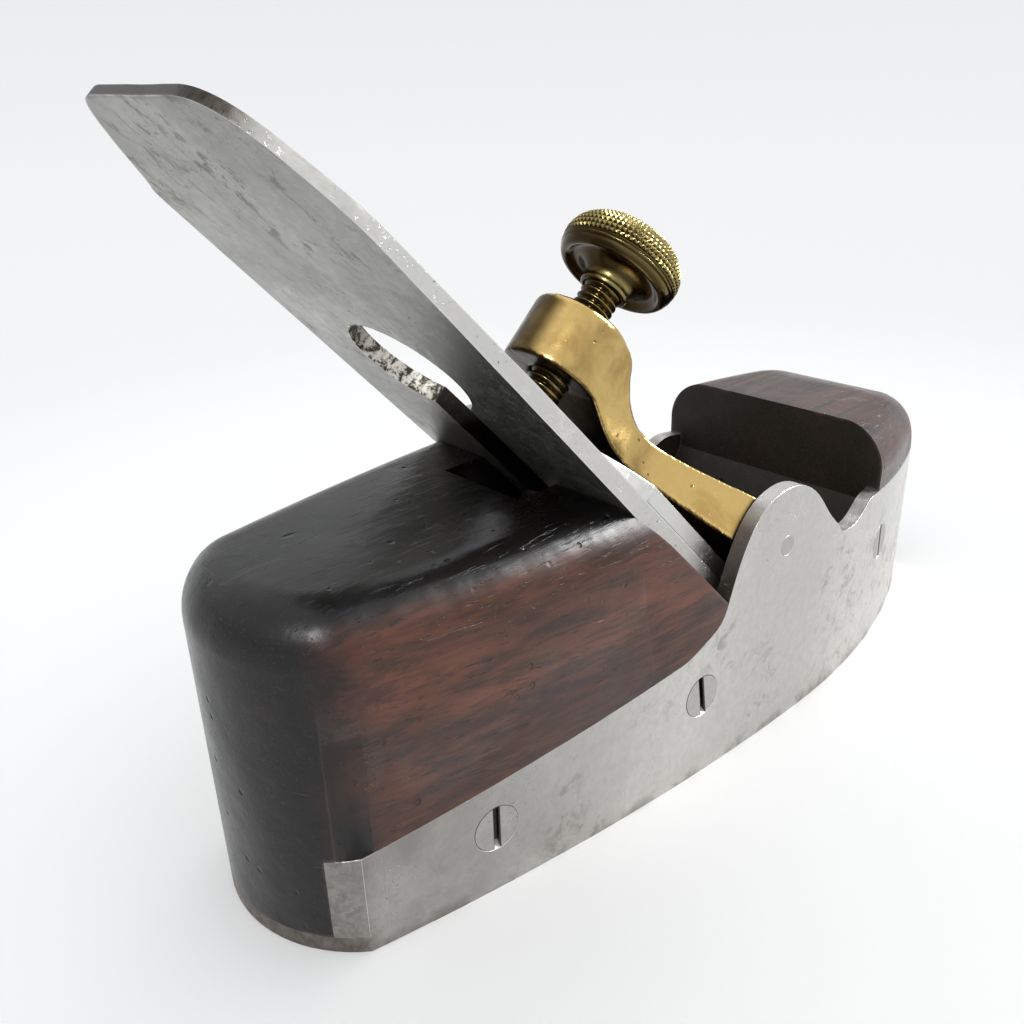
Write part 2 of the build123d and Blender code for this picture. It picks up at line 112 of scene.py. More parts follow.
class Shader:
    """A material with one Principled shader, and short ways to add nodes to it."""

    def __init__(self, name, **constants):
        self.material = bpy.data.materials.new(name)
        self.material.use_nodes = True
        self.tree = self.material.node_tree
        self.shader = self.tree.nodes["Principled BSDF"]
        for socket, value in constants.items():
            self.shader.inputs[socket.replace("_", " ")].default_value = value
        self.place = self.node("ShaderNodeTexCoord").outputs["Object"]
        self.normal = self.node("ShaderNodeNewGeometry").outputs["Normal"]

    def node(self, kind, inputs=None, **settings):
        node = self.tree.nodes.new(kind)
        for key, value in settings.items():
            setattr(node, key, value)
        for key, value in (inputs or {}).items():
            if isinstance(value, bpy.types.NodeSocket):
                self.tree.links.new(value, node.inputs[key])
            else:
                node.inputs[key].default_value = value
        return node

    def math(self, operation, a, b=0.5):
        return self.node("ShaderNodeMath", {0: a, 1: b}, operation=operation).outputs[0]

    def add(self, *values):
        total = values[0]
        for value in values[1:]:
            total = self.math("ADD", total, value)
        return total

    def times(self, *values):
        total = values[0]
        for value in values[1:]:
            total = self.math("MULTIPLY", total, value)
        return total

    def part(self, vector, axis):
        return self.node("ShaderNodeSeparateXYZ", {0: vector}).outputs[axis]

    def along(self, vector, direction):
        inputs = {0: vector, 1: tuple(direction)}
        node = self.node("ShaderNodeVectorMath", inputs, operation="DOT_PRODUCT")
        return node.outputs["Value"]

    def stretched(self, x, y, z, place=None):
        inputs = {0: place or self.place, 1: (x, y, z)}
        return self.node("ShaderNodeVectorMath", inputs, operation="MULTIPLY").outputs[0]

    def bed_place(self):
        """The place as a distance up the bed, across it and off it."""
        inputs = {
            0: self.along(self.place, UP_BED),
            1: self.part(self.place, 1),
            2: self.along(self.place, OFF_BED),
        }
        return self.node("ShaderNodeCombineXYZ", inputs).outputs[0]

    def noise(self, scale, detail=4, roughness=0.55, distortion=0.0, place=None):
        inputs = {"Vector": place or self.place, "Scale": scale, "Detail": detail}
        inputs.update({"Roughness": roughness, "Distortion": distortion})
        return self.node("ShaderNodeTexNoise", inputs).outputs["Fac"]

    def span(self, value, low, high, out_low=0.0, out_high=1.0):
        """A smooth step from out_low at low to out_high at high. Low may be the larger."""
        inputs = {0: value, 1: low, 2: high, 3: out_low, 4: out_high}
        node = self.node("ShaderNodeMapRange", inputs, interpolation_type="SMOOTHSTEP")
        return node.outputs[0]

    def scattered(self, scale, share, size, place=None):
        """High in round spots, one in each of a share of the cells."""
        inputs = {"Vector": place or self.place, "Scale": scale, "Randomness": 1.0}
        cells = self.node("ShaderNodeTexVoronoi", inputs)
        chosen = self.span(self.part(cells.outputs["Color"], 0), share, share * 0.9)
        return self.times(self.span(cells.outputs["Distance"], size, size * 0.4), chosen)

    def mix(self, share, a, b):
        node = self.node("ShaderNodeMix", {"Factor": share}, data_type="RGBA")
        for key, value in ((6, a), (7, b)):
            if isinstance(value, bpy.types.NodeSocket):
                self.tree.links.new(value, node.inputs[key])
            else:
                node.inputs[key].default_value = (*value, 1)
        return node.outputs[2]

    def edges(self, radius):
        """High along the edges, from the bevelled and the true normal."""
        bevel = self.node("ShaderNodeBevel", {"Radius": radius}, samples=6).outputs[0]
        inputs = {0: bevel, 1: self.normal}
        agreement = self.node("ShaderNodeVectorMath", inputs, operation="DOT_PRODUCT")
        return self.span(agreement.outputs["Value"], 0.985, 0.8)

    def hollow(self, distance, low=0.35, high=0.85):
        """High in slots, bores and inner corners."""
        around = self.node("ShaderNodeAmbientOcclusion", {"Distance": distance}, samples=6)
        return self.span(around.outputs["AO"], high, low)

    def bump(self, height, distance, below=None):
        inputs = {"Height": height, "Distance": distance, "Strength": 1.0}
        if below:
            inputs["Normal"] = below
        return self.node("ShaderNodeBump", inputs).outputs[0]

    def finish(self, color=None, roughness=None, normal=None):
        inputs = {"Base Color": color, "Roughness": roughness, "Normal": normal}
        for socket, value in inputs.items():
            if value is not None:
                self.tree.links.new(value, self.shader.inputs[socket])
        return self.material


class Steel(Shader):
    """Old hand-finished steel: cloudy tone, stains, specks and fine scratches."""

    def __init__(self, name, light, dark, stain):
        super().__init__(name, Metallic=1.0)
        self.light, self.dark, self.stain = light, dark, stain
        self.fine = self.span(self.noise(520, 5, 0.68), 0.28, 0.72)
        self.tone = self.mix(self.span(self.noise(38, 5, 0.6, 0.5), 0.3, 0.7), dark, light)

    def shade(self, share, color):
        self.tone = self.mix(share, self.tone, color)

    def marks(self, stains, specks=0.5, grain=None):
        """Stains in patches, specks of rust, and scratches along and across the grain."""
        grain = grain or self.place
        patches = self.span(self.noise(30, 3, 0.5, 0.4), 0.45, 0.62)
        self.blots = self.times(self.span(self.noise(210, 8, 0.75, 0.6), 0.5, 0.64), patches)
        rare = self.span(self.noise(75, 4, 0.6), 0.46, 0.6)
        self.pits = self.times(self.span(self.noise(1500, 4, 0.6), 0.6, 0.68), rare)
        scratches = self.noise(1500, 2, 0.5, place=self.stretched(0.03, 1, 1, grain))
        crossing = self.noise(1300, 2, 0.5, place=self.stretched(1, 1, 0.05, grain))
        self.scratch = self.span(self.math("MAXIMUM", scratches, crossing), 0.64, 0.72)
        self.shade(self.times(self.fine, 0.22), self.dark)
        self.shade(self.times(self.blots, stains), self.stain)
        self.shade(self.times(self.pits, specks), self.stain)
        self.shade(self.times(self.scratch, 0.25), self.light)

    def done(self, rough=0.34, worn=None):
        gloss = self.add(self.times(self.blots, 0.14), self.times(self.fine, 0.12), rough)
        if worn:
            gloss = self.math("SUBTRACT", gloss, self.times(worn, 0.1))
        relief = self.bump(self.noise(60, 3, 0.5), 0.0002)
        relief = self.bump(self.add(self.fine, self.times(self.scratch, -0.8)), 0.000012, relief)
        eaten = self.add(self.pits, self.times(self.blots, 0.4))
        relief = self.bump(self.times(eaten, -1.0), 0.00006, relief)
        return self.finish(self.tone, gloss, relief)


def shell_steel(name, light, dark, heel_dirt):
    """Shell plates: paler to the toe, brown inside the cheeks, painted shade about them, dirty
    at the heel.
    """
    s = Steel(name, light, dark, (0.15, 0.13, 0.115))
    x, z = s.part(s.place, 0), s.part(s.place, 2)
    s.shade(s.times(s.span(x, *TOWARDS_TOE), 0.62), (0.74, 0.73, 0.705))
    # Painted shade: the side plate is painted darker about the cheek
    cheek_painted_shade = s.times(s.span(x, -0.05, -0.02), s.span(x, 0.02, -0.01))
    s.shade(s.times(cheek_painted_shade, 0.42), (0.40, 0.39, 0.375))
    s.marks(0.5)
    facing_in = s.times(s.part(s.normal, 1), s.part(s.place, 1))
    s.shade(s.times(s.span(facing_in, -0.006, -0.018), 0.9), (0.04, 0.03, 0.024))
    # Painted shade: a dark strip on the back edge of each cheek, the face that looks to the heel
    rim = s.span(s.math("ABSOLUTE", s.part(s.normal, 1)), 0.6, 0.3)
    backwards = s.span(s.part(s.normal, 0), -0.2, -0.6)
    cheek_back_painted_shade = s.times(s.span(z, *CHEEK_BACK_TOP), s.span(z, *CHEEK_BACK_FOOT))
    s.shade(s.times(rim, backwards, cheek_back_painted_shade, 0.85), (0.075, 0.055, 0.043))
    heel = s.times(s.span(x, *HEEL_END), s.span(s.part(s.normal, 2), 0.9, 0.6))
    grimy = s.span(s.fine, 0, 1, heel_dirt - 0.2, heel_dirt + 0.1)
    s.shade(s.times(heel, grimy), (0.12, 0.10, 0.085))
    foot = s.times(s.span(z, *SOLE_FOOT), s.span(s.noise(130, 5), 0.42, 0.6))
    s.shade(s.times(foot, 0.5), s.stain)
    return s.done(0.36)


def worn_steel(name):
    """Edges rubbed bright by handling."""
    s = Steel(name, (0.82, 0.81, 0.79), (0.6, 0.59, 0.57), (0.2, 0.18, 0.16))
    s.marks(0.4)
    x, z = s.part(s.place, 0), s.part(s.place, 2)
    heel_foot = s.times(s.span(x, *HEEL_END), s.span(z, *HEEL_FOOT))
    s.shade(s.times(heel_foot, 0.7), (0.2, 0.17, 0.15))
    return s.done(0.26)


def iron_steel(name):
    """Stained, pitted steel: bright edges, rusty keyhole, dark battered end, painted reflection
    and shade.
    """
    s = Steel(name, (0.46, 0.455, 0.43), (0.27, 0.265, 0.25), (0.085, 0.075, 0.062))
    bed = s.bed_place()
    up, across = s.part(bed, 0), s.part(bed, 1)
    along_grain = s.stretched(0.5, 1, 1, bed)
    clouds = s.span(s.noise(70, 6, 0.65, 0.6, place=along_grain), 0.42, 0.62)
    s.shade(s.times(clouds, 0.45), s.dark)
    # Painted reflection: the iron is darker towards one edge and towards its top
    s.shade(s.times(s.span(across, 0.004, -0.02), 0.35), (0.22, 0.215, 0.20))
    s.shade(s.times(s.span(up, 0.145, 0.17), 0.4), (0.22, 0.21, 0.19))
    s.marks(0.6, 0.7, bed)
    rust = s.span(s.noise(260, 8, 0.78, 0.7, place=along_grain), 0.55, 0.6)
    s.shade(s.times(rust, s.span(s.noise(38, 4), 0.45, 0.6), 0.75), s.stain)
    side = s.span(s.math("ABSOLUTE", s.part(s.normal, 1)), 0.6, 0.85)
    s.shade(s.times(side, s.span(s.fine, 0, 1, 0.95, 0.8)), (0.56, 0.55, 0.53))
    chips = s.times(s.span(s.noise(900, 6, 0.7), 0.6, 0.66), s.span(s.noise(110, 4), 0.46, 0.6))
    s.shade(s.times(chips, side, 0.85), s.stain)
    worn = s.edges(0.0007)
    s.shade(s.times(worn, 0.5), (0.80, 0.79, 0.76))
    end_face = s.span(s.along(s.normal, UP_BED), 0.35, 0.75)
    ragged_up = s.add(up, s.times(s.noise(150, 4), 0.006))
    end = s.math("MAXIMUM", end_face, s.span(ragged_up, *WORN_END))
    s.shade(s.times(end, s.span(s.fine, 0, 1, 0.97, 0.85)), (0.028, 0.021, 0.015))
    inputs = {0: s.stretched(1, 1, 0, bed), 1: tuple(KEYHOLE)}
    hole = s.node("ShaderNodeVectorMath", inputs, operation="DISTANCE")
    wall = s.span(hole.outputs["Value"], *KEYHOLE_WALL)
    flakes = s.span(s.noise(520, 8, 0.75, 0.5), 0.45, 0.56)
    s.shade(wall, s.mix(flakes, (0.05, 0.043, 0.03), (0.55, 0.53, 0.47)))
    aside = s.math("ABSOLUTE", across)
    # Painted shade on the rusty walls of the slot
    s.shade(s.times(s.span(aside, *SLOT_WALL), s.span(up, *SLOT_TOP)), (0.03, 0.026, 0.022))
    # Painted shade in the crease where the cap iron lies on the iron
    off_bed = s.span(s.along(s.normal, OFF_BED), 0.2, 0.45)
    beside_cap_iron = s.times(s.span(aside, *CAP_IRON_EDGE), s.span(up, *CAP_IRON_TOP))
    s.shade(s.times(off_bed, beside_cap_iron, 0.9), PAINTED_CREASE_SHADE)
    return s.done(0.33, worn)


def cap_steel(name):
    """The cap iron: cleaner than the iron, worn bright and painted light on its sides, painted
    shade underneath.
    """
    s = Steel(name, (0.62, 0.615, 0.60), (0.40, 0.395, 0.38), (0.12, 0.10, 0.085))
    s.marks(0.4)
    # Painted light, with wear: the sides and the rounded end are painted bright
    outer = s.span(s.math("ABSOLUTE", s.part(s.place, 1)), 0.012, 0.018)
    outer_end_wear_and_painted_light = s.times(s.along(s.normal, UP_BED), outer)
    side = s.math("MAXIMUM", s.math("ABSOLUTE", s.part(s.normal, 1)), outer_end_wear_and_painted_light)
    s.shade(s.times(s.span(side, 0.35, 0.7), 0.85), (0.62, 0.61, 0.585))
    worn = s.edges(0.0005)
    s.shade(s.times(worn, 0.6), (0.8, 0.79, 0.77))
    # Painted shade underneath, where the cap iron lies on the iron
    s.shade(s.times(s.span(s.along(s.normal, OFF_BED), -0.15, -0.4), 0.9), PAINTED_CREASE_SHADE)
    return s.done(0.3, worn)


def fastener_steel(name, light, dark, slot):
    """Heads of screws and pins, as dark in their slots as the slot share says."""
    s = Steel(name, light, dark, (0.12, 0.10, 0.09))
    s.marks(0.5)
    s.shade(s.times(s.hollow(0.0016, 0.45, 0.75), slot), PACKED_OIL)
    return s.done(0.38)


def seam_dirt(name):
    """Old oil and dust packed in a joint."""
    s = Shader(name)
    tone = s.mix(s.noise(700, 5), PACKED_OIL, (0.09, 0.08, 0.07))
    return s.finish(tone, s.span(s.noise(300), 0, 1, 0.5, 0.8), s.bump(s.noise(900), 0.00003))


def rosewood(name):
    """Oiled rosewood: red-brown flanks, near black elsewhere, painted shade on backs, painted
    light on the bun.
    """
    s = Shader(name, Specular_IOR_Level=0.38)
    x, aside = s.part(s.place, 0), s.math("ABSOLUTE", s.part(s.place, 1))
    forwards, upwards = s.part(s.normal, 0), s.part(s.normal, 2)

    ripple = s.noise(18, 3, 0.5)
    grain = s.noise(85, 8, 0.7, 0.7, place=s.stretched(0.10, 1, 1))
    streaks = s.span(s.noise(330, 7, 0.66, 0.3, place=s.stretched(0.055, 1, 1)), 0.44, 0.6)
    threads = s.span(s.noise(900, 4, 0.6, 0.2, place=s.stretched(0.04, 1, 1)), 0.48, 0.62)
    pores = s.span(s.noise(1500, 3, 0.6, place=s.stretched(0.06, 1, 1)), 0.6, 0.68)
    smudge = s.span(s.noise(34, 4, 0.6, 0.5), 0.36, 0.64)

    sideways = s.add(s.math("ABSOLUTE", s.part(s.normal, 1)), s.times(s.add(ripple, -0.5), 0.5))
    flank = s.times(s.span(sideways, 0.3, 0.65), s.span(upwards, 0.8, 0.5))
    flank = s.times(flank, s.span(aside, 0.0145, 0.018), s.span(x, -0.121, -0.107))
    flank = s.times(flank, s.span(smudge, 0, 1, 0.7, 1.0))
    # Painted light: the bun's top is painted a lit brown
    crown = s.times(s.span(upwards, 0.3, 0.9), s.span(x, 0.02, 0.03))

    red = s.mix(s.span(grain, 0.34, 0.66), (0.050, 0.018, 0.011), (0.175, 0.060, 0.032))
    red = s.mix(s.times(streaks, 0.65), red, (0.026, 0.012, 0.009))
    red = s.mix(s.times(threads, 0.4), red, (0.20, 0.065, 0.035))
    # Off the flanks the wood is near black; on the faces that look back this is painted shade
    dark = s.mix(s.span(grain, 0.45, 0.72), (0.002, 0.0017, 0.0017), (0.013, 0.0065, 0.005))
    lit_brown_painted = s.mix(streaks, (0.11, 0.050, 0.038), (0.035, 0.017, 0.014))
    tone = s.mix(flank, dark, red)
    tone = s.mix(s.times(crown, s.span(grain, 0.3, 0.6, 0.5, 0.9)), tone, lit_brown_painted)
    tone = s.mix(s.times(pores, 0.6), tone, (0.006, 0.004, 0.003))
    worn = s.times(s.edges(0.0014), s.span(s.noise(200, 5), 0.35, 0.6))
    worn = s.times(worn, s.span(aside, 0.011, 0.013))
    tone = s.mix(s.times(worn, 0.5), tone, (0.17, 0.12, 0.095))

    # Dents and knocks all over, and nicks and fine scratches but for the faces that look back
    not_back = s.span(forwards, -0.9, -0.7)
    dents = s.scattered(190, 0.3, 0.14)
    nicks = s.times(s.scattered(140, 0.22, 0.12, s.stretched(0.4, 1, 1)), not_back)
    knocks = s.scattered(420, 0.35, 0.22, s.stretched(0.8, 1, 0.6))
    knocks = s.times(knocks, s.span(s.noise(26, 3), 0.48, 0.6))
    lines = s.span(s.noise(420, 2, 0.4, 0.15, place=s.stretched(0.10, 0.16, 1)), 0.66, 0.70)
    lines = s.times(lines, s.span(s.noise(22, 2), 0.46, 0.56), not_back)
    tone = s.mix(s.times(s.add(dents, nicks), 0.7), tone, CHECK_BLACK)

    bun_back = s.times(s.span(forwards, -0.75, -0.97), s.span(x, 0.0, 0.01))
    gloss = s.add(s.times(smudge, 0.10), s.times(s.noise(300, 4), 0.10), s.times(flank, 0.10))
    gloss = s.add(gloss, s.times(bun_back, 0.35), 0.17)
    relief = s.bump(s.noise(45, 3, 0.5), 0.0007)
    relief = s.bump(s.noise(160, 3, 0.5), 0.00012, relief)
    relief = s.bump(s.times(s.add(pores, s.times(streaks, 0.3)), -1.0), 0.00004, relief)
    cuts = s.add(dents, nicks, knocks, s.times(lines, 0.5))
    relief = s.bump(s.times(cuts, -1.0), 0.0003, relief)
    return s.finish(tone, gloss, relief)


def brass(name, bright, brown, groove=0.002):
    """Old brass, rubbed bright; patina and painted shade in hollows, painted shade below, a
    painted dark far side.
    """
    s = Shader(name, Metallic=1.0)
    cloud = s.noise(75, 6, 0.65, 0.8)
    patina = s.span(cloud, 0.46, 0.70)
    fine = s.span(s.noise(600, 5, 0.62), 0.3, 0.7)
    specks = s.scattered(520, 0.10, 0.22)
    scratch = s.span(s.noise(1100, 2, 0.5, place=s.stretched(1, 0.06, 1)), 0.64, 0.72)
    off = s.along(s.normal, OFF_BED)
    # Painted shade on the undersides, the faces that look down to the bed
    under = s.span(off, -0.15, -0.6)
    # Painted reflection: faces turned back and left are painted dark
    away = s.times(s.span(s.along(s.normal, BACK_LEFT), 0.2, 0.5), s.span(off, 0.75, 0.4))
    # Dark in hollows: patina in the fine grooves, painted shade in the wider hollows
    grime_and_shade = s.math("MAXIMUM", s.hollow(0.007, 0.3, 0.8), s.hollow(groove, 0.45, 0.9))
    tone = s.mix(s.times(patina, 0.7), bright, brown)
    tone = s.mix(s.times(fine, 0.15), tone, brown)
    tone = s.mix(s.times(away, s.span(cloud, 0.3, 0.6, 0.85, 0.97)), tone, (0.055, 0.032, 0.010))
    tone = s.mix(s.times(s.span(off, 0.8, 0.97), 0.6), tone, brown)
    tone = s.mix(s.times(under, 0.92), tone, (0.035, 0.023, 0.010))
    tone = s.mix(s.times(specks, 0.7), tone, (0.07, 0.04, 0.018))
    tone = s.mix(s.times(grime_and_shade, 0.92), tone, (0.035, 0.022, 0.010))
    gloss = s.add(s.times(patina, 0.10), s.times(fine, 0.06), s.times(grime_and_shade, 0.2), 0.16)
    relief = s.bump(s.noise(85, 3, 0.5), 0.0003)
    relief = s.bump(s.add(s.times(scratch, -1.0), fine), 0.000010, relief)
    relief = s.bump(s.times(specks, -1.0), 0.00005, relief)
    return s.finish(tone, gloss, relief)


SIDES = shell_steel("side_steel", (0.40, 0.39, 0.375), (0.27, 0.26, 0.245), 0.45)
SOLE = shell_steel("sole_steel", SOLE_LIGHT, (0.28, 0.27, 0.255), 0.85)
WORN = worn_steel("worn_steel")
IRON = iron_steel("iron_steel")
CAP = cap_steel("cap_steel")
FASTENER = fastener_steel("fastener_steel", (0.46, 0.45, 0.43), HEAD_DARK, 1.0)
FILED = fastener_steel("filed_steel", SOLE_LIGHT, HEAD_DARK, 0.2)
SCREW = fastener_steel("screw_steel", (0.20, 0.19, 0.18), (0.10, 0.095, 0.09), 1.0)
SEAM = seam_dirt("seam_dirt")
WOOD = rosewood("rosewood")
BRASS = brass("brass", (0.57, 0.40, 0.15), (0.28, 0.17, 0.055))
KNOB_BRASS = brass("knob_brass", (0.34, 0.28, 0.105), (0.14, 0.105, 0.038), 0.0008)


# ---------------------------------------------------------------- pieces

def new_piece(name, mesh, body, slot, *materials, replaces=None):
    """An object in the scene that rides on a body and may stand in for a CAD node."""
    piece = bpy.data.objects.new(name, mesh)
    bpy.context.scene.collection.objects.link(piece)
    mesh.materials.clear()
    for material in materials:
        mesh.materials.append(material)
    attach(piece, body)
    if replaces:
        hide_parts(replaces)
    return piece


def welded(node):
    """A CAD node's mesh with its seams welded and its flat faces made whole."""
    shape = bmesh.new()
    shape.from_mesh(frame["nodes"][node].data)
    bmesh.ops.remove_doubles(shape, verts=shape.verts, dist=WELD)
    bmesh.ops.dissolve_limit(shape, angle_limit=FLAT, verts=shape.verts, edges=shape.edges)
    return shape


def mesh_of(shape, name):
    """The shape as a mesh, smooth but for its sharp edges. The shape is freed."""
    mesh = bpy.data.meshes.new(name)
    shape.to_mesh(mesh)
    shape.free()
    mesh.shade_smooth()
    mesh.set_sharp_from_angle(angle=SHARP)
    return mesh


def rounded(node, body, slot, width, *materials, where=None, change=None):
    """The CAD node with its edges, or those that where picks, broken by a small round."""
    shape = welded(node)
    if change:
        change(shape)
    weight = shape.edges.layers.float.new("bevel_weight_edge")
    for edge in shape.edges:
        if edge.calc_face_angle(0) > SHARP:
            middle = (edge.verts[0].co + edge.verts[1].co) / 2
            if where is None or where(middle, [face.normal for face in edge.link_faces]):
                edge[weight] = 1
    mesh = mesh_of(shape, node)
    piece = new_piece(f"{node}_worn", mesh, body, slot, *materials, replaces=node)
    bevel = piece.modifiers.new("worn_edges", "BEVEL")
    bevel.limit_method = "WEIGHT"
    bevel.width = width
    bevel.segments = 2
    bevel.material = len(materials) - 1
    piece.modifiers.new("flat_faces", "WEIGHTED_NORMAL").keep_sharp = True


def softened(node, body, slot, material, voxel, smooth):
    """The CAD node as one cast skin, its edges and inner corners melted."""
    mesh = mesh_of(welded(node), node)
    piece = new_piece(f"{node}_skin", mesh, body, slot, material, replaces=node)
    remesh = piece.modifiers.new("skin", "REMESH")
    remesh.mode = "VOXEL"
    remesh.voxel_size = voxel
    remesh.use_smooth_shade = True
    melt = piece.modifiers.new("melt", "SMOOTH")
    melt.factor = 0.5
    melt.iterations = smooth


def smooth_line(points, step):
    """Points a step apart along a smooth curve through the given ones."""
    between = 20
    ends = [2 * points[0] - points[1]] + points + [2 * points[-1] - points[-2]]
    dense = []
    for a, b, c, d in zip(ends, ends[1:], ends[2:], ends[3:]):
        for k in range(between):
            t = k / between
            dense.append(0.5 * (2 * b + t * (c - a) + t * t * (2 * a - 5 * b + 4 * c - d)
                                + t * t * t * (3 * b - a - 3 * c + d)))
    dense.append(points[-1])
    lengths = [0]
    for a, b in zip(dense, dense[1:]):
        lengths.append(lengths[-1] + (b - a).length)
    count = max(1, round(lengths[-1] / step))
    line, at = [], 0
    for k in range(count + 1):
        goal = lengths[-1] * k / count
        while at < len(dense) - 2 and lengths[at + 1] < goal:
            at += 1
        share = (goal - lengths[at]) / (lengths[at + 1] - lengths[at])
        line.append(dense[at].lerp(dense[at + 1], share))
    return line


def turned(name, rings, steps):
    """A closed skin about the lever screw. Each ring gives a radius and a height in mm."""
    shape = bmesh.new()
    rows = []
    for ring in rings:
        row = []
        for k in range(steps):
            angle = 2 * pi * k / steps
            radius, height = ring(angle)
            out = UP_BED * cos(angle) + ACROSS * sin(angle)
            row.append(shape.verts.new(SCREW_FOOT + (out * radius + OFF_BED * height) * MM))
        rows.append(row)
    for low, high in zip(rows, rows[1:]):
        for k in range(steps):
            n = (k + 1) % steps
            shape.faces.new((low[k], low[n], high[n], high[k]))
    shape.faces.new(list(reversed(rows[0])))
    shape.faces.new(rows[-1])
    bmesh.ops.recalc_face_normals(shape, faces=shape.faces)
    return mesh_of(shape, name)


def pulse(u, width):
    """1 at whole numbers, falling to 0 within width of them."""
    gap = abs(u - floor(u + 0.5))
    return max(0.0, 1 - gap / width)


def lever_screw():
    """The lever screw with its thread, in mm: a blunt point, then 18 turns to the inch."""
    tip, top, crest, root, pitch = 7.75, 44.8, 3.95, 3.3, 25.4 / 18
    point_radius, point_slope = 1.7, 1.2
    steps, rows_in_a_turn = 64, 14
    rows = int((top - tip) / pitch * rows_in_a_turn)
    rings = []
    for k in range(rows + 1):
        height = tip + (top - tip) * k / rows
        limit = min(crest, point_radius + (height - tip) * point_slope)

        def ring(angle, height=height, limit=limit):
            phase = height / pitch - angle / (2 * pi)
            wave = 0.5 + 0.5 * cos(2 * pi * phase)
            return min(limit, root + (crest - root) * wave ** 0.7), height
        rings.append(ring)
    mesh = turned("lever_screw_thread", rings, steps)
    new_piece("lever_screw_thread", mesh, "lever_shank", "brass", KNOB_BRASS,
              replaces="lever_screw")


def lever_knob():
    """The thumb knob: bell neck, hollow underside, two beads, and a grid cut round its rim.

    Its profile is radius and height in mm. The knurl has square cells, fine rows to each.
    """
    columns, fine = 72, 6
    rim_radius, groove_width, groove_depth = 12.2, 0.36, 0.34
    cell = 2 * pi * rim_radius / columns
    under = [(4.12, 38.5), (4.12, 36.7), (4.35, 36.6), (4.75, 36.7), (4.95, 37.2), (4.9, 37.9),
             (5.1, 38.8), (5.7, 39.7), (6.6, 40.5), (7.7, 41.0), (8.7, 40.9), (9.4, 40.4),
             (9.9, 39.95), (10.5, 39.85), (11.0, 40.1), (11.45, 40.7), (11.75, 41.3)]
    beads = [(11.62, 41.42), (11.85, 41.62), (11.98, 41.85), (11.8, 42.1), (11.98, 42.3),
             (12.08, 42.5)]
    rim = [(12.1, 42.55), (12.28, 43.5), (12.15, 44.8), (11.7, 46.1), (10.85, 47.3),
           (9.6, 48.35), (8.4, 48.95)]
    crown = [(8.2, 48.98), (8.0, 49.1), (6.0, 49.55), (3.0, 49.8), (0.4, 49.85)]

    def plain(points, step):
        line = smooth_line([Vector(p) for p in points], step)
        return [(lambda angle, p=p: (p.x, p.y)) for p in line]

    line = smooth_line([Vector(p) for p in rim], cell / fine)
    knurl = []
    for k, p in enumerate(line):
        before, after = line[max(0, k - 1)], line[min(len(line) - 1, k + 1)]
        out = Vector((after.y - before.y, before.x - after.x)).normalized()

        def ring(angle, p=p, out=out, k=k):
            row_cut = pulse(k / fine, groove_width)
            column_cut = pulse(angle / (2 * pi) * columns, groove_width)
            place = p - out * groove_depth * max(row_cut, column_cut)
            return place.x, place.y
        knurl.append(ring)
    rings = plain(under, 0.3) + plain(beads, 0.12) + knurl + plain(crown, 0.4)
    mesh = turned("lever_knob_knurled", rings, columns * fine)
    new_piece("lever_knob_knurled", mesh, "lever_knob", "brass", KNOB_BRASS,
              replaces="lever_knob")


def shell():
    """Sole and side plates: only free edges are rubbed round, so the dovetails stay closed."""
    top_of_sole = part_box("sole_plate")[1].z
    near_heel, near_toe = -110 * MM, 60 * MM

    def free_edge(middle, normals):
        return middle.z > top_of_sole + 0.3 * MM

    def foot_edge(middle, normals):
        on_foot = min(n.z for n in normals) < -0.9 and middle.z < 0.2 * MM
        at_ends = middle.x < near_heel or middle.x > near_toe
        return on_foot and (at_ends or max(abs(n.y) for n in normals) > 0.8)

    for side in ("right", "left"):
        rounded(f"{side}_side_plate", "body", "shell_steel", 0.32 * MM, SIDES, WORN,
                where=free_edge)
    rounded("sole_plate", "body", "shell_steel", 0.3 * MM, SOLE, where=foot_edge)


def fasteners():
    """Heads and pin, filed flush, with a dark line round the heel and middle screws."""
    for node in frame["nodes"]:
        if node.endswith(("heel_screw", "middle_screw")):
            rounded(node, "body", "fastener_steel", 0.22 * MM, FASTENER, SEAM)
        elif node.endswith("toe_screw") or node == "pivot_pin":
            rounded(node, "body", "fastener_steel", 0.12 * MM, FILED)


def battered(shape):
    """Wear along the outline of the cutting iron, which also thins it towards its top end."""
    long_edges = [e for e in shape.edges
                  if e.calc_length() > 8 * MM and abs(e.verts[0].co.y) > 12 * MM]
    bmesh.ops.subdivide_edges(shape, edges=long_edges, cuts=50, use_grid_fill=False)
    thin_from, thin_over, end_from = 0.12, 0.05, 0.165
    narrowed, thinned, nicks_in_a_metre = 0.006, 0.25, 90
    for vert in shape.verts:
        up, off = vert.co.dot(UP_BED), vert.co.dot(OFF_BED)
        share = min(1.0, max(0.0, (up - thin_from) / thin_over))
        if abs(vert.co.y) > 15 * MM or up > end_from:
            nick = noise.fractal(vert.co * nicks_in_a_metre, 1.0, 2.0, 4)
            wear = max(0.0, 0.5 + 0.5 * nick)
            vert.co.y *= 1 - wear * (narrowed + narrowed * share)
            if off > 0.5 * MM:
                vert.co -= OFF_BED * off * thinned * share


def irons():
    """The double iron and its screw. The cutting edge itself stays sharp."""
    def above_the_edge(middle, normals):
        return middle.dot(UP_BED) > 0.004

    rounded("cutting_iron", "iron", "iron_steel", 0.28 * MM, IRON,
            where=above_the_edge, change=battered)
    rounded("cap_iron", "cap_iron", "cap_steel", 0.24 * MM, CAP)
    rounded("cap_iron_screw", "cap_screw", "cap_steel", 0.3 * MM, SCREW)


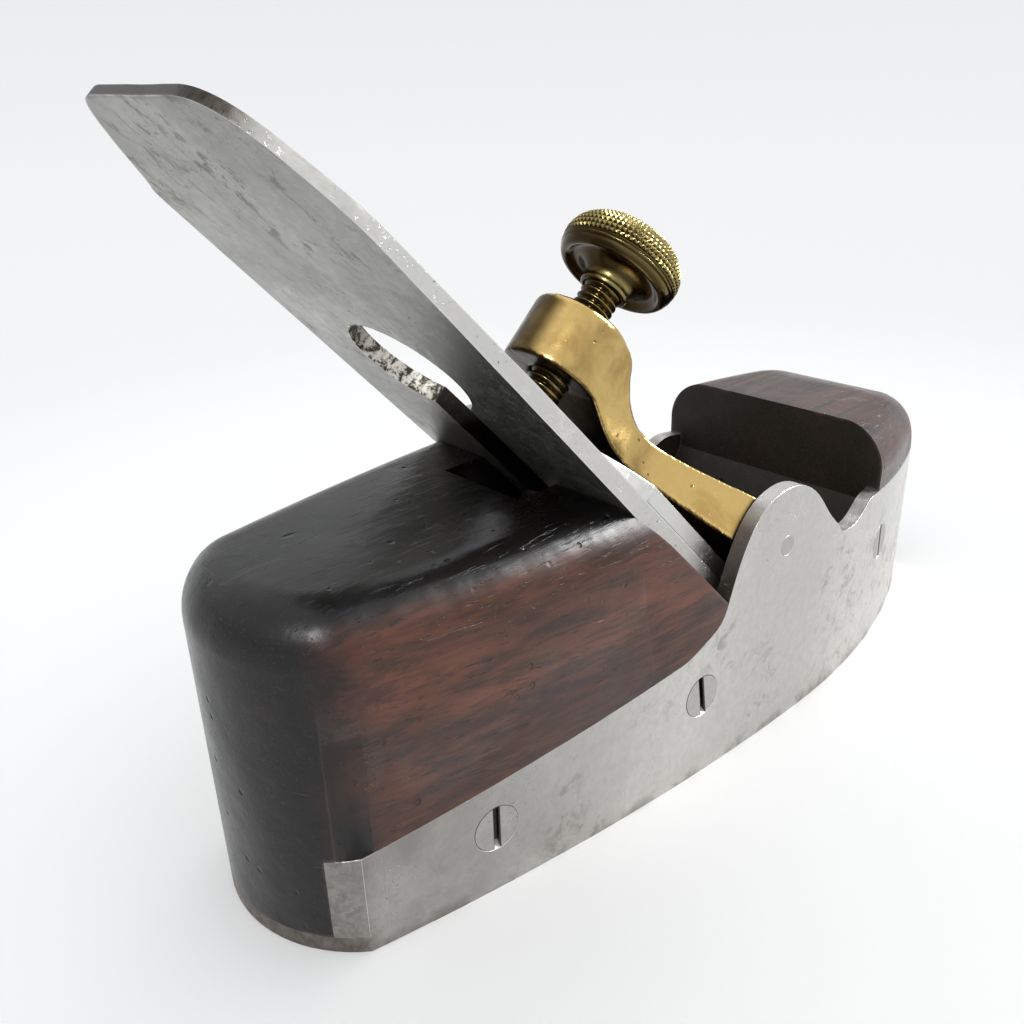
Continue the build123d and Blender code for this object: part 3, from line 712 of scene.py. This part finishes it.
def infills():
    """Rosewood infills, their free edges eased and their joints with the steel left tight."""
    def free(middle, normals):
        return min(n.z for n in normals) > -0.3

    rounded("rear_infill", "body", "rosewood", 0.45 * MM, WOOD, where=free)
    rounded("front_infill", "body", "rosewood", 0.8 * MM, WOOD, where=free)


shell()
fasteners()
irons()
infills()
softened("lever_cap", "lever_cap", "brass", BRASS, 0.45 * MM, 8)
lever_screw()
lever_knob()


# ---------------------------------------------------------------- studio

def stage_floor():
    """A pale floor, painted lighter near the plane, that rises gently far away, so that no
    horizon shows.
    """
    shape = bmesh.new()
    rings = [(0.001, 0), (0.5, 0), (1.0, 0), (1.4, 0.02), (1.8, 0.09), (2.2, 0.22),
             (2.6, 0.42), (3.0, 0.7)]
    steps = 96
    rows = []
    for radius, height in rings:
        row = []
        for k in range(steps):
            angle = 2 * pi * k / steps
            row.append(shape.verts.new((radius * cos(angle), radius * sin(angle), height)))
        rows.append(row)
    for inner, outer in zip(rows, rows[1:]):
        for k in range(steps):
            n = (k + 1) % steps
            shape.faces.new((inner[k], outer[k], outer[n], inner[n]))
    shape.faces.new(rows[0])
    s = Shader("paper", Specular_IOR_Level=0.0)
    away = s.node("ShaderNodeVectorMath", {0: s.place}, operation="LENGTH").outputs["Value"]
    # Painted light: the floor is paler close to the plane, lifting the plane's shadow
    painted_light_near = s.mix(s.span(away, 0.13, 0.4), (0.97, 0.97, 0.965), (0.86, 0.86, 0.855))
    tone = s.mix(s.span(away, 0.5, 1.5), painted_light_near, (0.87, 0.87, 0.865))
    tone = s.mix(s.times(s.noise(400, 5), 0.03), tone, (0.7, 0.7, 0.7))
    s.finish(tone, s.span(s.noise(40), 0, 1, 0.55, 0.65))
    stage = bpy.data.objects.new("floor", mesh_of(shape, "floor"))
    bpy.context.scene.collection.objects.link(stage)
    stage.data.materials.append(s.material)


def lamp(name, place, size, radiance, diffuse=True):
    """A square lamp aimed at the plane. Without diffuse it shows in reflections only."""
    light = bpy.data.lights.new(name, "AREA")
    light.shape = "SQUARE"
    light.size = size
    light.energy = radiance * pi * size * size
    holder = bpy.data.objects.new(name, light)
    bpy.context.scene.collection.objects.link(holder)
    holder.location = place
    holder.visible_diffuse = diffuse
    middle = (cad_box[0] + cad_box[1]) / 2
    holder.rotation_euler = (middle - Vector(place)).to_track_quat("-Z", "Y").to_euler()


def sky():
    """An even white room, darker low down where the walls stand."""
    world = bpy.data.worlds.new("studio")
    bpy.context.scene.world = world
    world.use_nodes = True
    tree = world.node_tree
    background = tree.nodes["Background"]
    background.inputs[0].default_value = (0.97, 0.985, 1.0, 1)
    direction = tree.nodes.new("ShaderNodeTexCoord").outputs["Generated"]
    split = tree.nodes.new("ShaderNodeSeparateXYZ")
    ramp = tree.nodes.new("ShaderNodeMapRange")
    tree.links.new(direction, split.inputs[0])
    tree.links.new(split.outputs[2], ramp.inputs[0])
    low, high, low_strength, high_strength = 0.05, 0.5, 0.35, 1.06
    for socket, value in zip(ramp.inputs[1:5], (low, high, low_strength, high_strength)):
        socket.default_value = value
    tree.links.new(ramp.outputs[0], background.inputs[1])


def studio():
    stage_floor()
    sky()
    lamp("overhead", (0.1, 0.3, 1.4), 1.2, 0.4)
    lamp("front_right", (0.85, -0.55, 0.75), 0.6, 28, diffuse=False)
    lamp("behind_camera", (-0.85, -0.5, 0.95), 0.3, 24, diffuse=False)
    bpy.context.scene.view_settings.view_transform = "Standard"


def camera():
    """The photo's camera, from its yaw, pitch and roll."""
    lens = bpy.data.cameras.new("camera")
    lens.lens = CAMERA_LENS
    lens.sensor_width = CAMERA_SENSOR
    lens.clip_start = CAMERA_CLIP
    holder = bpy.data.objects.new("camera", lens)
    bpy.context.scene.collection.objects.link(holder)
    level = Vector((cos(CAMERA_YAW), sin(CAMERA_YAW), 0))
    forward = level * cos(CAMERA_PITCH) + Vector((0, 0, sin(CAMERA_PITCH)))
    right = Vector((sin(CAMERA_YAW), -cos(CAMERA_YAW), 0))
    up = right.cross(forward)
    rolled_right = cos(CAMERA_ROLL) * right + sin(CAMERA_ROLL) * up
    rolled_up = cos(CAMERA_ROLL) * up - sin(CAMERA_ROLL) * right
    turn = Matrix((rolled_right, rolled_up, -forward)).transposed()
    holder.matrix_world = Matrix.Translation(CAMERA_PLACE) @ turn.to_4x4()
    bpy.context.scene.camera = holder


studio()
camera()
